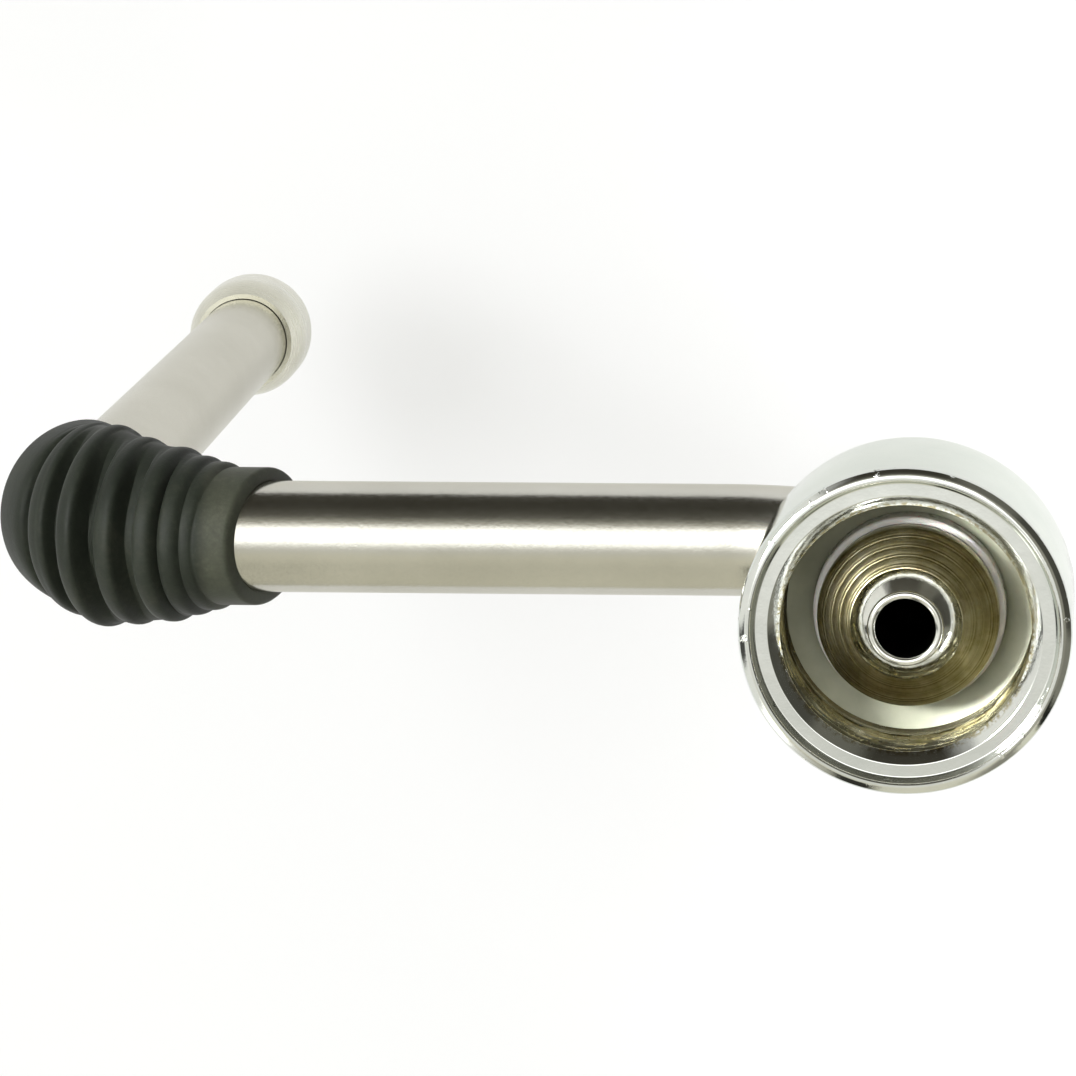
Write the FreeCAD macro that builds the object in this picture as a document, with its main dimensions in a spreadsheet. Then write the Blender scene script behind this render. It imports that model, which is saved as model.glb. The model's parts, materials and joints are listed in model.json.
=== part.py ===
"""Steam wand of an espresso machine: a ball joint in a round union nut, a bent tube, a ribbed elbow grip and a tip.

Frame: +Z is the axis of the union nut and points out of its mouth. The origin is on that axis at the outer end of
the thread. The wand leaves the nut downward, bends toward -X, then bends down again to the tip. Millimetres.
"""
import FreeCAD
import Part
import Sketcher

import math
import os
import re

Vector = FreeCAD.Vector
Placement = FreeCAD.Placement
Rotation = FreeCAD.Rotation

# Driving dimensions, in millimetres and degrees.
SIZES = {
    # union nut
    "nut_outer_radius": 13.5,
    "nut_front_level": 2.8,
    "nut_rear_level": -13.0,
    "nut_lip_inner_radius": 12.5,
    "nut_face_outer_radius": 12.2,
    "nut_face_level": 1.8,
    "nut_chamfer_radius": 11.1,
    "thread_minor_radius": 10.19,
    "thread_length": 5.8,
    "relief_radius": 10.9,
    "relief_slope": 0.4,
    "relief_width": 1.4,
    "floor_inner_level": -8.15,
    "counterbore_radius": 8.0,
    "counterbore_level": -8.5,
    "opening_radius": 6.7,
    "opening_flare_radius": 7.8,
    "nut_lip_rounding": 0.9,
    "nut_rear_rounding": 0.5,
    # ball joint
    "ball_level": -4.6,
    "ball_radius": 7.5,
    "ball_running_gap": 0.05,
    "ball_cone_start": 0.9,
    "ball_cone_end": 3.2,
    "ball_land_radius": 4.6,
    "ring_outer_radius": 7.95,
    "ring_top_drop": 1.4,
    "ring_bottom_drop": 3.88,
    "braze_gap": 0.04,
    # nose spigot
    "nose_radius": 4.15,
    "nose_shoulder_level": 3.7,
    "nose_top_level": 5.7,
    "nose_rim_radius": 3.1,
    "nose_shoulder_rounding": 0.5,
    "nose_rim_rounding": 0.3,
    "steam_hole_radius": 2.4,
    "spigot_shoulder_level": -1.2,
    "spigot_radius": 3.96,
    "spigot_end_level": -8.0,
    # tube
    "tube_radius": 5.0,
    "tube_bore_radius": 4.0,
    "tube_top_drop": 1.2,
    "straight_one": 13.5,
    "bend_one_radius": 16.0,
    "turn_one": 95.0,
    "straight_two": 45.0,
    "bend_two_radius": 15.0,
    "turn_two": 92.0,
    "straight_three": 106.0,
    # grip
    "grip_bore_radius": 5.03,
    "grip_core_radius": 6.2,
    "grip_lead": 10.5,
    "grip_tail": 7.5,
    "grip_cut_lead": 3.55,
    "grip_cut_angle": 26.0,
    "rib_crest_radius": 0.65,
    "rib_root_half_width": 1.3,
    # tip
    "bush_radius": 3.96,
    "bush_inner_length": 8.0,
    "bush_thread_radius": 3.5,
    "bush_thread_length": 6.0,
    "bush_bore_radius": 1.8,
    "ring_section_radius": 0.5,
    "ring_mean_radius": 4.53,
    "tip_radius": 6.8,
    "tip_skirt": 2.5,
    "tip_skirt_radius": 5.6,
    "tip_shoulder_depth": 1.5,
    "tip_skirt_bore_radius": 5.08,
    "tip_gland_depth": 1.1,
    "tip_thread_bore_radius": 3.56,
    "tip_thread_depth": 6.6,
    "tip_chamber_radius": 2.6,
    "tip_chamber_depth": 8.6,
    "tip_chamber_point": 9.4,
    "tip_cylinder_depth": 6.0,
    "tip_length": 12.0,
    "tip_flat_radius": 2.2,
    "jet_radius": 0.65,
    "jet_angle": 40.0,
    "jet_start_radius": 1.4,
    "jet_length": 8.0,
    "jet_count": 4,
}

# Ribs of the grip inside the second bend: place as an angle along the bend, crest radius, and angle between the rib's
# axis and the middle straight.
BEND_RIBS = [
    ("rib_low", 3.5, 6.7, 20.0),
    ("rib_small", 9.5, 7.2, 20.0),
    ("rib_one", 17.5, 7.9, 20.0),
    ("rib_two", 31.7, 8.5, 20.0),
    ("rib_three", 46.2, 9.2, 24.0),
    ("rib_four", 61.0, 8.9, 29.0),
    ("rib_five", 70.5, 8.6, 42.0),
    ("rib_six", 78.7, 8.35, 55.0),
]
# Ribs below the second bend: distance past the bend, crest radius and the same angle.
TAIL_RIBS = [
    ("rib_seven", 0.4, 7.4, 74.0),
    ("rib_eight", 4.2, 6.8, 86.0),
]

doc = FreeCAD.newDocument("steam_wand")
sheet = doc.addObject("Spreadsheet::Sheet", "Sizes")


def fill_sheet():
    """Put every driving dimension into the sheet, with its alias beside it."""
    values = dict(SIZES)
    for name, place_on_path, radius, angle in BEND_RIBS + TAIL_RIBS:
        values[name + "_place"] = place_on_path
        values[name + "_radius"] = radius
        values[name + "_angle"] = angle
    for row, (alias, value) in enumerate(values.items(), start=1):
        sheet.set("A%d" % row, alias)
        sheet.set("B%d" % row, str(value))
        sheet.setAlias("B%d" % row, alias)
    doc.recompute()


def size(alias):
    """Value of one cell of the sheet."""
    return float(sheet.get(alias))


def cells(text):
    """Turn each [alias] into a reference to the sheet."""
    return re.sub(r"\[(\w+)\]", r"Sizes.\1", text)


def number(text):
    """Value of an expression written with [alias] words."""
    value = sheet.evalExpression(cells(text))
    return float(getattr(value, "Value", value))


def new_body(name):
    body = doc.addObject("PartDesign::Body", name)
    body.Label = name
    return body


def origin_feature(body, role):
    for feature in body.Origin.OriginFeatures:
        if feature.Role == role:
            return feature
    raise ValueError("no origin feature " + role)


def new_sketch(body, name, role="XZ_Plane"):
    sketch = body.newObject("Sketcher::SketchObject", name)
    sketch.AttachmentSupport = (origin_feature(body, role), [""])
    sketch.MapMode = "FlatFace"
    return sketch


def pin_coordinate(sketch, geometry, end, kind, text, name):
    """Hold one coordinate of a sketch point at an expression, measured from the sketch's origin."""
    if text == "0":
        axis = -2 if kind == "DistanceX" else -1
        sketch.addConstraint(Sketcher.Constraint("PointOnObject", geometry, end, axis))
        return
    index = sketch.addConstraint(Sketcher.Constraint(kind, -1, 1, geometry, end, number(text)))
    sketch.renameConstraint(index, name)
    sketch.setExpression("Constraints." + name, cells(text))


def outline(sketch, points, arcs=None):
    """Closed outline through points (across, up).

    arcs maps the index of an arc's first point to its centre (across, up) and whether it turns left.
    """
    arcs = arcs or {}
    count = len(points)
    at = [Vector(number(across), number(up), 0) for across, up in points]
    for i, start in enumerate(at):
        end = at[(i + 1) % count]
        if i not in arcs:
            sketch.addGeometry(Part.LineSegment(start, end), False)
            continue
        across, up, turns_left = arcs[i]
        centre = Vector(number(across), number(up), 0)
        first = math.atan2(start.y - centre.y, start.x - centre.x)
        last = math.atan2(end.y - centre.y, end.x - centre.x)
        if not turns_left:
            first, last = last, first
        circle = Part.Circle(centre, Vector(0, 0, 1), (start - centre).Length)
        sketch.addGeometry(Part.ArcOfCircle(circle, first, last), False)
    first_end = [2 if i in arcs and not arcs[i][2] else 1 for i in range(count)]
    for i in range(count):
        following = (i + 1) % count
        sketch.addConstraint(
            Sketcher.Constraint("Coincident", i, 3 - first_end[i], following, first_end[following]))
    for i, (across, up) in enumerate(points):
        pin_coordinate(sketch, i, first_end[i], "DistanceX", across, "p%d_across" % i)
        pin_coordinate(sketch, i, first_end[i], "DistanceY", up, "p%d_up" % i)
    for i, (across, _, _) in arcs.items():
        pin_coordinate(sketch, i, 3, "DistanceX", across, "centre%d_across" % i)


def revolve(body, name, points, arcs=None):
    """Turn an outline in the XZ plane once round the body's Z axis."""
    sketch = new_sketch(body, name + "_outline")
    outline(sketch, points, arcs)
    turned = body.newObject("PartDesign::Revolution", name)
    turned.Profile = sketch
    turned.ReferenceAxis = (sketch, ["V_Axis"])
    turned.Angle = 360
    doc.recompute()
    return turned


def circle_edges(shape, radius, level):
    """Names of the shape's circular edges of one radius at one height."""
    found = []
    for i, edge in enumerate(shape.Edges):
        curve = edge.Curve
        if not isinstance(curve, Part.Circle):
            continue
        if abs(curve.Radius - radius) < 1e-4 and abs(curve.Center.z - level) < 1e-4:
            found.append("Edge%d" % (i + 1))
    return found


def round_edges(body, base, name, radius, level, alias):
    """Fillet the circular edges of one radius and height."""
    fillet = body.newObject("PartDesign::Fillet", name)
    fillet.Base = (base, circle_edges(base.Shape, radius, level))
    fillet.Radius = size(alias)
    fillet.setExpression("Radius", cells("[" + alias + "]"))
    doc.recompute()
    return fillet


def place(body, across, up, turn=None):
    """Bind a body's place in the XZ plane and its turn about +Y."""
    if turn:
        body.Placement = Placement(Vector(0, 0, 0), Rotation(Vector(0, 1, 0), number(turn)))
        body.setExpression("Placement.Rotation.Angle", cells(turn))
    if across != "0":
        body.setExpression("Placement.Base.x", cells(across))
    body.setExpression("Placement.Base.z", cells(up))


def make_union_nut():
    body = new_body("union_nut")
    relief_end = "-[thread_length] - [relief_width]"
    points = [
        ("[nut_lip_inner_radius]", "[nut_front_level]"),
        ("[nut_outer_radius]", "[nut_front_level]"),
        ("[nut_outer_radius]", "[nut_rear_level]"),
        ("[opening_flare_radius]", "[nut_rear_level]"),
        ("[opening_radius]", "[counterbore_level]"),
        ("[counterbore_radius]", "[counterbore_level]"),
        ("[counterbore_radius]", "[floor_inner_level]"),
        ("[thread_minor_radius]", relief_end),
        ("[relief_radius]", relief_end + " + [relief_slope]"),
        ("[relief_radius]", "-[thread_length] - [relief_slope]"),
        ("[thread_minor_radius]", "-[thread_length]"),
        ("[thread_minor_radius]", "0"),
        ("[nut_chamfer_radius]", "[nut_face_level]"),
        ("[nut_face_outer_radius]", "[nut_face_level]"),
    ]
    turned = revolve(body, "nut_turned", points)
    front = round_edges(body, turned, "lip_outside", size("nut_outer_radius"), size("nut_front_level"),
                        "nut_lip_rounding")
    round_edges(body, front, "rear_outside", size("nut_outer_radius"), size("nut_rear_level"), "nut_rear_rounding")
    return body


def make_seat_ring():
    """Ring between the ball and the nut's floor; its inside is a zone of a sphere about the ball's centre."""
    body = new_body("seat_ring")
    sphere = "([ball_radius] + [ball_running_gap])"
    top = "sqrt(" + sphere + "^2 - [ring_top_drop]^2)"
    bottom = "sqrt(" + sphere + "^2 - [ring_bottom_drop]^2)"
    points = [
        (bottom, "-[ring_bottom_drop]"),
        ("[ring_outer_radius]", "-[ring_bottom_drop]"),
        ("[ring_outer_radius]", "-[ring_top_drop]"),
        (top, "-[ring_top_drop]"),
    ]
    revolve(body, "ring_turned", points, {3: ("0", "0", False)})
    place(body, "0", "[ball_level]")
    return body


def make_swivel_ball():
    """Ball with a conical front, bored for the nose and counterbored at the back for the tube."""
    body = new_body("swivel_ball")
    tube_fit = "([tube_radius] + [braze_gap])"
    nose_fit = "([nose_radius] + [braze_gap])"
    back = "-sqrt([ball_radius]^2 - " + tube_fit + "^2)"
    front = "sqrt([ball_radius]^2 - [ball_cone_start]^2)"
    shelf = "-[tube_top_drop]"
    points = [
        (tube_fit, back),
        (front, "[ball_cone_start]"),
        ("[ball_land_radius]", "[ball_cone_end]"),
        (nose_fit, "[ball_cone_end]"),
        (nose_fit, shelf),
        (tube_fit, shelf),
    ]
    revolve(body, "ball_turned", points, {0: ("0", "0", True)})
    place(body, "0", "[ball_level]")
    return body


def make_nose_spigot():
    body = new_body("nose_spigot")
    points = [
        ("[steam_hole_radius]", "[spigot_end_level]"),
        ("[spigot_radius]", "[spigot_end_level]"),
        ("[spigot_radius]", "[spigot_shoulder_level]"),
        ("[nose_radius]", "[spigot_shoulder_level]"),
        ("[nose_radius]", "[nose_shoulder_level]"),
        ("[nose_rim_radius]", "[nose_top_level]"),
        ("[steam_hole_radius]", "[nose_top_level]"),
    ]
    turned = revolve(body, "spigot_turned", points)
    shoulder = round_edges(body, turned, "nose_shoulder", size("nose_radius"), size("nose_shoulder_level"),
                           "nose_shoulder_rounding")
    rim = round_edges(body, shoulder, "nose_rim", size("nose_rim_radius"), size("nose_top_level"),
                      "nose_rim_rounding")
    round_edges(body, rim, "hole_rim", size("steam_hole_radius"), size("nose_top_level"), "nose_rim_rounding")
    place(body, "0", "[ball_level]")
    return body


# Start of the second bend, and the tube's lower end, in the XZ plane.
TURN_LEFT = "([turn_two] - [turn_one])"
BEND_TWO_ACROSS = (
    "[bend_one_radius] * (cos([turn_one] * 1 deg) - 1) - [straight_two] * sin([turn_one] * 1 deg)")
BEND_TWO_UP = (
    "[ball_level] - [tube_top_drop] - [straight_one]"
    " - [bend_one_radius] * sin([turn_one] * 1 deg) - [straight_two] * cos([turn_one] * 1 deg)")
TUBE_END_ACROSS = (
    BEND_TWO_ACROSS + " + [bend_two_radius] * (cos([turn_one] * 1 deg) - cos(" + TURN_LEFT + " * 1 deg))"
    " + [straight_three] * sin(" + TURN_LEFT + " * 1 deg)")
TUBE_END_UP = (
    BEND_TWO_UP + " - [bend_two_radius] * (sin([turn_one] * 1 deg) + sin(" + TURN_LEFT + " * 1 deg))"
    " - [straight_three] * cos(" + TURN_LEFT + " * 1 deg)")


def name_constraint(sketch, constraint, name, text):
    index = sketch.addConstraint(constraint)
    sketch.renameConstraint(index, name)
    sketch.setExpression("Constraints." + name, cells(text))


def unit(angle):
    return Vector(math.cos(math.radians(angle)), math.sin(math.radians(angle)), 0)


def run_path(sketch, start, heading, runs):
    """Path of straights and tangent arcs from start, heading at an angle in the sketch.

    runs holds ("line", length text) or ("arc", radius text, turn text, turns left).
    """
    at = start
    for i, run in enumerate(runs):
        direction = unit(heading)
        if run[0] == "line":
            following = at + direction * number(run[1])
            sketch.addGeometry(Part.LineSegment(at, following), False)
        else:
            radius = number(run[1])
            turn = number(run[2])
            side = 1 if run[3] else -1
            centre = at + unit(heading + side * 90) * radius
            opened = heading - side * 90
            closed = opened + side * turn
            low, high = min(opened, closed), max(opened, closed)
            circle = Part.Circle(centre, Vector(0, 0, 1), radius)
            sketch.addGeometry(Part.ArcOfCircle(circle, math.radians(low), math.radians(high)), False)
            following = centre + unit(closed) * radius
            heading += side * turn
        at = following
    first_end = [2 if run[0] == "arc" and not run[3] else 1 for run in runs]
    for i in range(len(runs) - 1):
        sketch.addConstraint(Sketcher.Constraint("Tangent", i, 3 - first_end[i], i + 1, first_end[i + 1]))
    for i, run in enumerate(runs):
        if run[0] == "line":
            name_constraint(sketch, Sketcher.Constraint("Distance", i, number(run[1])), "run%d" % i, run[1])
            continue
        name_constraint(sketch, Sketcher.Constraint("Radius", i, number(run[1])), "radius%d" % i, run[1])
        angle = Sketcher.Constraint("Angle", i, math.radians(number(run[2])))
        name_constraint(sketch, angle, "turn%d" % i, run[2] + " * 1 deg")


def ring_profile(body, name, path, radii):
    """Circles square to the path's first edge, at its start."""
    sketch = body.newObject("Sketcher::SketchObject", name)
    sketch.AttachmentSupport = (path, ["Edge1"])
    sketch.MapMode = "NormalToEdge"
    sketch.MapPathParameter = 0
    for i, alias in enumerate(radii):
        sketch.addGeometry(Part.Circle(Vector(0, 0, 0), Vector(0, 0, 1), size(alias)), False)
        sketch.addConstraint(Sketcher.Constraint("Coincident", i, 3, -1, 1))
        name_constraint(sketch, Sketcher.Constraint("Radius", i, size(alias)), alias, "[" + alias + "]")
    return sketch


def pipe(body, kind, name, profile, path):
    swept = body.newObject("PartDesign::" + kind, name)
    swept.Profile = profile
    swept.Spine = (path, ["Edge%d" % (i + 1) for i in range(path.GeometryCount)])
    doc.recompute()
    return swept


def make_wand_tube():
    body = new_body("wand_tube")
    path = new_sketch(body, "tube_path")
    run_path(path, Vector(0, -size("tube_top_drop"), 0), -90, [
        ("line", "[straight_one]"),
        ("arc", "[bend_one_radius]", "[turn_one]", False),
        ("line", "[straight_two]"),
        ("arc", "[bend_two_radius]", "[turn_two]", True),
        ("line", "[straight_three]"),
    ])
    path.addConstraint(Sketcher.Constraint("Vertical", 0))
    pin_coordinate(path, 0, 1, "DistanceX", "0", "start_across")
    pin_coordinate(path, 0, 1, "DistanceY", "-[tube_top_drop]", "start_up")
    doc.recompute()
    profile = ring_profile(body, "tube_section", path, ["tube_radius", "tube_bore_radius"])
    pipe(body, "AdditivePipe", "tube_bent", profile, path)
    place(body, "0", "[ball_level]")
    return body


def add_rib(body, name, across, up):
    """One rib: a disc with a rounded crest, thicker toward its axis, set obliquely on the sleeve."""
    sketch = new_sketch(body, name + "_outline")
    turn = number("[" + name + "_angle] - 90")
    sketch.AttachmentOffset = Placement(Vector(number(across), number(up), 0), Rotation(Vector(0, 0, 1), turn))
    sketch.setExpression("AttachmentOffset.Base.x", cells(across))
    sketch.setExpression("AttachmentOffset.Base.y", cells(up))
    sketch.setExpression("AttachmentOffset.Rotation.Angle", cells("[" + name + "_angle] - 90"))
    crest = "[" + name + "_radius] - [rib_crest_radius]"
    points = [
        ("0", "[rib_root_half_width]"),
        (crest, "[rib_crest_radius]"),
        (crest, "-[rib_crest_radius]"),
        ("0", "-[rib_root_half_width]"),
    ]
    outline(sketch, points, {1: (crest, "0", False)})
    rib = body.newObject("PartDesign::Revolution", name)
    rib.Profile = sketch
    rib.ReferenceAxis = (sketch, ["V_Axis"])
    rib.Angle = 360
    doc.recompute()
    return rib


def make_elbow_grip():
    """Ribbed sleeve over the second bend. Its own frame has the middle straight along -X and the bend's start at 0."""
    body = new_body("elbow_grip")
    path = new_sketch(body, "grip_path")
    run_path(path, Vector(size("grip_lead"), 0, 0), 180, [
        ("line", "[grip_lead]"),
        ("arc", "[bend_two_radius]", "[turn_two]", True),
        ("line", "[grip_tail]"),
    ])
    path.addConstraint(Sketcher.Constraint("Horizontal", 0))
    pin_coordinate(path, 0, 1, "DistanceX", "[grip_lead]", "start_across")
    pin_coordinate(path, 0, 1, "DistanceY", "0", "start_up")
    doc.recompute()
    core = ring_profile(body, "core_section", path, ["grip_core_radius"])
    pipe(body, "AdditivePipe", "core", core, path)
    radius = "[bend_two_radius]"
    for name, _, _, _ in BEND_RIBS:
        place_text = "([" + name + "_place] * 1 deg)"
        add_rib(body, name, "-" + radius + " * sin" + place_text, radius + " * (cos" + place_text + " - 1)")
    for name, _, _, _ in TAIL_RIBS:
        past = " - [" + name + "_place]"
        add_rib(body, name,
                "-" + radius + " * sin([turn_two] * 1 deg)" + past + " * cos([turn_two] * 1 deg)",
                radius + " * (cos([turn_two] * 1 deg) - 1)" + past + " * sin([turn_two] * 1 deg)")
    bore = ring_profile(body, "bore_section", path, ["grip_bore_radius"])
    pipe(body, "SubtractivePipe", "bore", bore, path)
    cut = new_sketch(body, "oblique_end_outline")
    reach = "([grip_lead] + [grip_core_radius])"
    lean = "[grip_core_radius] * 1.5 * tan([grip_cut_angle] * 1 deg)"
    points = [
        ("[grip_cut_lead] + " + lean, "-[grip_core_radius] * 1.5"),
        (reach + " + " + lean, "-[grip_core_radius] * 1.5"),
        (reach + " + " + lean, "[grip_core_radius] * 1.5"),
        ("[grip_cut_lead] - " + lean, "[grip_core_radius] * 1.5"),
    ]
    outline(cut, points)
    pocket = body.newObject("PartDesign::Pocket", "oblique_end")
    pocket.Profile = cut
    pocket.Type = "ThroughAll"
    pocket.Midplane = True
    doc.recompute()
    place(body, BEND_TWO_ACROSS, BEND_TWO_UP, "[turn_one] - 90")
    return body


def make_tip_bush():
    """Threaded bush in the tube's end. The frames of the three tip pieces have the tube's end at 0 and +Z up the tube."""
    body = new_body("tip_bush")
    points = [
        ("[bush_bore_radius]", "-[bush_thread_length]"),
        ("[bush_thread_radius]", "-[bush_thread_length]"),
        ("[bush_thread_radius]", "0"),
        ("[bush_radius]", "0"),
        ("[bush_radius]", "[bush_inner_length]"),
        ("[bush_bore_radius]", "[bush_inner_length]"),
    ]
    revolve(body, "bush_turned", points)
    place(body, TUBE_END_ACROSS, TUBE_END_UP, "[turn_one] - [turn_two]")
    return body


def make_tip_o_ring():
    body = new_body("tip_o_ring")
    torus = body.newObject("PartDesign::AdditiveTorus", "ring")
    torus.Radius1 = size("ring_mean_radius")
    torus.Radius2 = size("ring_section_radius")
    torus.setExpression("Radius1", cells("[ring_mean_radius]"))
    torus.setExpression("Radius2", cells("[ring_section_radius]"))
    torus.setExpression("Placement.Base.z", cells("-[tip_gland_depth] / 2"))
    doc.recompute()
    place(body, TUBE_END_ACROSS, TUBE_END_UP, "[turn_one] - [turn_two]")
    return body


def make_steam_tip():
    body = new_body("steam_tip")
    run = "([tip_radius] - [tip_flat_radius])"
    drop = "([tip_length] - [tip_cylinder_depth])"
    dome = "(" + run + "^2 + " + drop + "^2) / (2 * " + run + ")"
    swell = "([tip_radius] - [tip_skirt_radius])"
    rise = "([tip_skirt] + [tip_shoulder_depth])"
    shoulder = "(" + swell + "^2 + " + rise + "^2) / (2 * " + swell + ")"
    points = [
        ("[tip_skirt_bore_radius]", "[tip_skirt]"),
        ("[tip_skirt_bore_radius]", "-[tip_gland_depth]"),
        ("[tip_thread_bore_radius]", "-[tip_gland_depth]"),
        ("[tip_thread_bore_radius]", "-[tip_thread_depth]"),
        ("[tip_chamber_radius]", "-[tip_thread_depth]"),
        ("[tip_chamber_radius]", "-[tip_chamber_depth]"),
        ("0", "-[tip_chamber_point]"),
        ("0", "-[tip_length]"),
        ("[tip_flat_radius]", "-[tip_length]"),
        ("[tip_radius]", "-[tip_cylinder_depth]"),
        ("[tip_radius]", "-[tip_shoulder_depth]"),
        ("[tip_skirt_radius]", "[tip_skirt]"),
    ]
    arcs = {
        8: ("[tip_radius] - " + dome, "-[tip_cylinder_depth]", True),
        10: ("[tip_radius] - " + shoulder, "-[tip_shoulder_depth]", True),
    }
    turned = revolve(body, "tip_turned", points, arcs)
    before = turned.Shape.Volume
    jet = body.newObject("PartDesign::SubtractiveCylinder", "jet")
    jet.Radius = size("jet_radius")
    jet.Height = size("jet_length")
    jet.Placement = Placement(
        Vector(size("jet_start_radius"), 0, -size("tip_thread_depth")),
        Rotation(Vector(0, 1, 0), 180 - size("jet_angle")))
    jet.setExpression("Radius", cells("[jet_radius]"))
    jet.setExpression("Height", cells("[jet_length]"))
    jet.setExpression("Placement.Base.x", cells("[jet_start_radius]"))
    jet.setExpression("Placement.Base.z", cells("-[tip_thread_depth]"))
    jet.setExpression("Placement.Rotation.Angle", cells("180 - [jet_angle]"))
    doc.recompute()
    ring = body.newObject("PartDesign::PolarPattern", "jets")
    ring.Originals = [jet]
    ring.Axis = (origin_feature(body, "Z_Axis"), [""])
    ring.Angle = 360
    ring.Occurrences = int(size("jet_count"))
    ring.setExpression("Occurrences", cells("[jet_count]"))
    body.Tip = ring
    doc.recompute()
    if ring.Shape.Volume >= before:
        raise RuntimeError("the jets cut nothing")
    place(body, TUBE_END_ACROSS, TUBE_END_UP, "[turn_one] - [turn_two]")
    return body


def check_and_export(bodies):
    """Stop at anything that failed, then write one STEP file for each piece."""
    doc.recompute()
    for item in doc.Objects:
        if "Invalid" in item.State or "Error" in item.State:
            raise RuntimeError("%s failed: %s" % (item.Name, item.State))
    os.makedirs("parts", exist_ok=True)
    for body in bodies:
        shape = body.Shape
        if shape.isNull() or not shape.isValid() or len(shape.Solids) != 1:
            raise RuntimeError("bad shape: " + body.Label)
        shape.exportStep(os.path.join("parts", body.Label + ".step"))
        box = shape.BoundBox
        print("%-12s volume %9.2f  x %8.2f..%8.2f  y %7.2f..%7.2f  z %8.2f..%8.2f" % (
            body.Label, shape.Volume, box.XMin, box.XMax, box.YMin, box.YMax, box.ZMin, box.ZMax))


fill_sheet()
check_and_export([
    make_union_nut(),
    make_seat_ring(),
    make_swivel_ball(),
    make_nose_spigot(),
    make_wand_tube(),
    make_elbow_grip(),
    make_tip_bush(),
    make_tip_o_ring(),
    make_steam_tip(),
])
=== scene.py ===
"""Looks of the steam wand. Every size is in millimetres in the part's frame and turned to metres by MM."""
import json
import math

import bpy
from mathutils import Matrix, Vector


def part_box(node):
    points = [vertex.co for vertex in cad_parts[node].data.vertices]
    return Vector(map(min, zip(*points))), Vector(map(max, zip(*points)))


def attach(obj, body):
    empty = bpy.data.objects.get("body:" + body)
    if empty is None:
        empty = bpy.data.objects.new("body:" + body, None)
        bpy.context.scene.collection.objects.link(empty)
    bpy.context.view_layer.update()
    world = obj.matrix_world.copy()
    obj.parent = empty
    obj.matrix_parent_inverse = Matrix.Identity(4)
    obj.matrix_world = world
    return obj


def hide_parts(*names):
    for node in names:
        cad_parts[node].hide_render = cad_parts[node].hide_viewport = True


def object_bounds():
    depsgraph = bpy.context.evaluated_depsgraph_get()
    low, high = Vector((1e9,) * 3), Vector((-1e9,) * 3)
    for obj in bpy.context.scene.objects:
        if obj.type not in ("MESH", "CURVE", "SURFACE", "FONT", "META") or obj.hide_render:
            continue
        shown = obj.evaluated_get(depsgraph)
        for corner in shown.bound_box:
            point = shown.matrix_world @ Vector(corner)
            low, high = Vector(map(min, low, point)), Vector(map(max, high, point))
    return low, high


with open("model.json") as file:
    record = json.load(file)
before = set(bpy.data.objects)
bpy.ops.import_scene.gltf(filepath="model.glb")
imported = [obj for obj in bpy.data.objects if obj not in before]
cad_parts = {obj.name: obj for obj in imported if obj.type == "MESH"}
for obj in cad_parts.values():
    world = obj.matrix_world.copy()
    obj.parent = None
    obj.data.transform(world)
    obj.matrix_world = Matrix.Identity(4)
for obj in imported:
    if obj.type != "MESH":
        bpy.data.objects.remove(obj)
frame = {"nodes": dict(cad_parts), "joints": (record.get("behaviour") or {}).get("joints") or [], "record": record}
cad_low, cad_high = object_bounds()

MM = 0.001

# Levels and radii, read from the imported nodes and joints.
nut_low, nut_high = (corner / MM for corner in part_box("union_nut"))
NUT_RADIUS = nut_high.x
NUT_FRONT = nut_high.z
NUT_REAR = nut_low.z
BALL = Vector(next(j for j in frame["joints"] if j["name"] == "wand_tilt")["pos_m"]) / MM
THREAD = frame["record"]["mounts"][0]["dims"]
THREAD_RADIUS = THREAD["r_mm"]
THREAD_LENGTH = THREAD["length_mm"]

# Sizes of the nut, shared with the CAD part: radii, and levels in the part's frame.
NUT_LIP_INSIDE = 12.5
NUT_LIP_ROUNDING = 0.9
NUT_REAR_ROUNDING = 0.5
NUT_FACE_OUTSIDE = 12.2
NUT_FACE_INSIDE = 11.1
NUT_FACE_LEVEL = 1.8
RELIEF_RADIUS = 10.9
RELIEF_SLOPE = 0.4
RELIEF_WIDTH = 1.4
SEAT_FLOOR_LEVEL = -8.15
COUNTERBORE_RADIUS = 8.0
COUNTERBORE_LEVEL = -8.5
OPENING_RADIUS = 6.7
OPENING_FLARE = 7.8

# Sizes of the ball, the seat ring and the nose, shared with the CAD part: radii, and heights above the ball's
# centre.
BALL_RADIUS = 7.5
BALL_RUNNING_GAP = 0.05
BALL_CONE_START = 0.9
BALL_CONE_END = 3.2
BALL_LAND_RADIUS = 4.6
BRAZE_GAP = 0.04
RING_RADIUS = 7.95
RING_TOP = -1.4
RING_BOTTOM = -3.88
NOSE_RADIUS = 4.15
SPIGOT_RADIUS = 3.96
SPIGOT_SHOULDER = -1.2
SPIGOT_END = -8.0
STEAM_HOLE_RADIUS = 2.4

# Sizes of the tube and the grip, shared with the CAD part.
TUBE_RADIUS = 5.0
TUBE_BORE = 4.0
TUBE_TOP = BALL.z + SPIGOT_SHOULDER
STRAIGHT_ONE = 13.5
BEND_ONE = 16.0
TURN_ONE = 95.0
STRAIGHT_TWO = 45.0
BEND_TWO = 15.0
TURN_TWO = 92.0
STRAIGHT_THREE = 106.0
GRIP_CORE = 6.2
GRIP_BORE = 5.03
GRIP_LEAD = 3.55
GRIP_TAIL = 7.5
GRIP_CUT_ANGLE = 26.0

# Fineness of the meshes, and the angle in degrees over which an edge stays sharp.
LATHE_STEPS = 256
TUBE_STEPS = 96
TUBE_BEND_STEPS = 36
TUBE_STRAIGHT_STEPS = 4
ROUNDING_STEPS = 8
SHARP_EDGE = 32
SHARP_EDGE_ON_NODE = 30


# ---------------------------------------------------------------- mesh helpers

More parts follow.
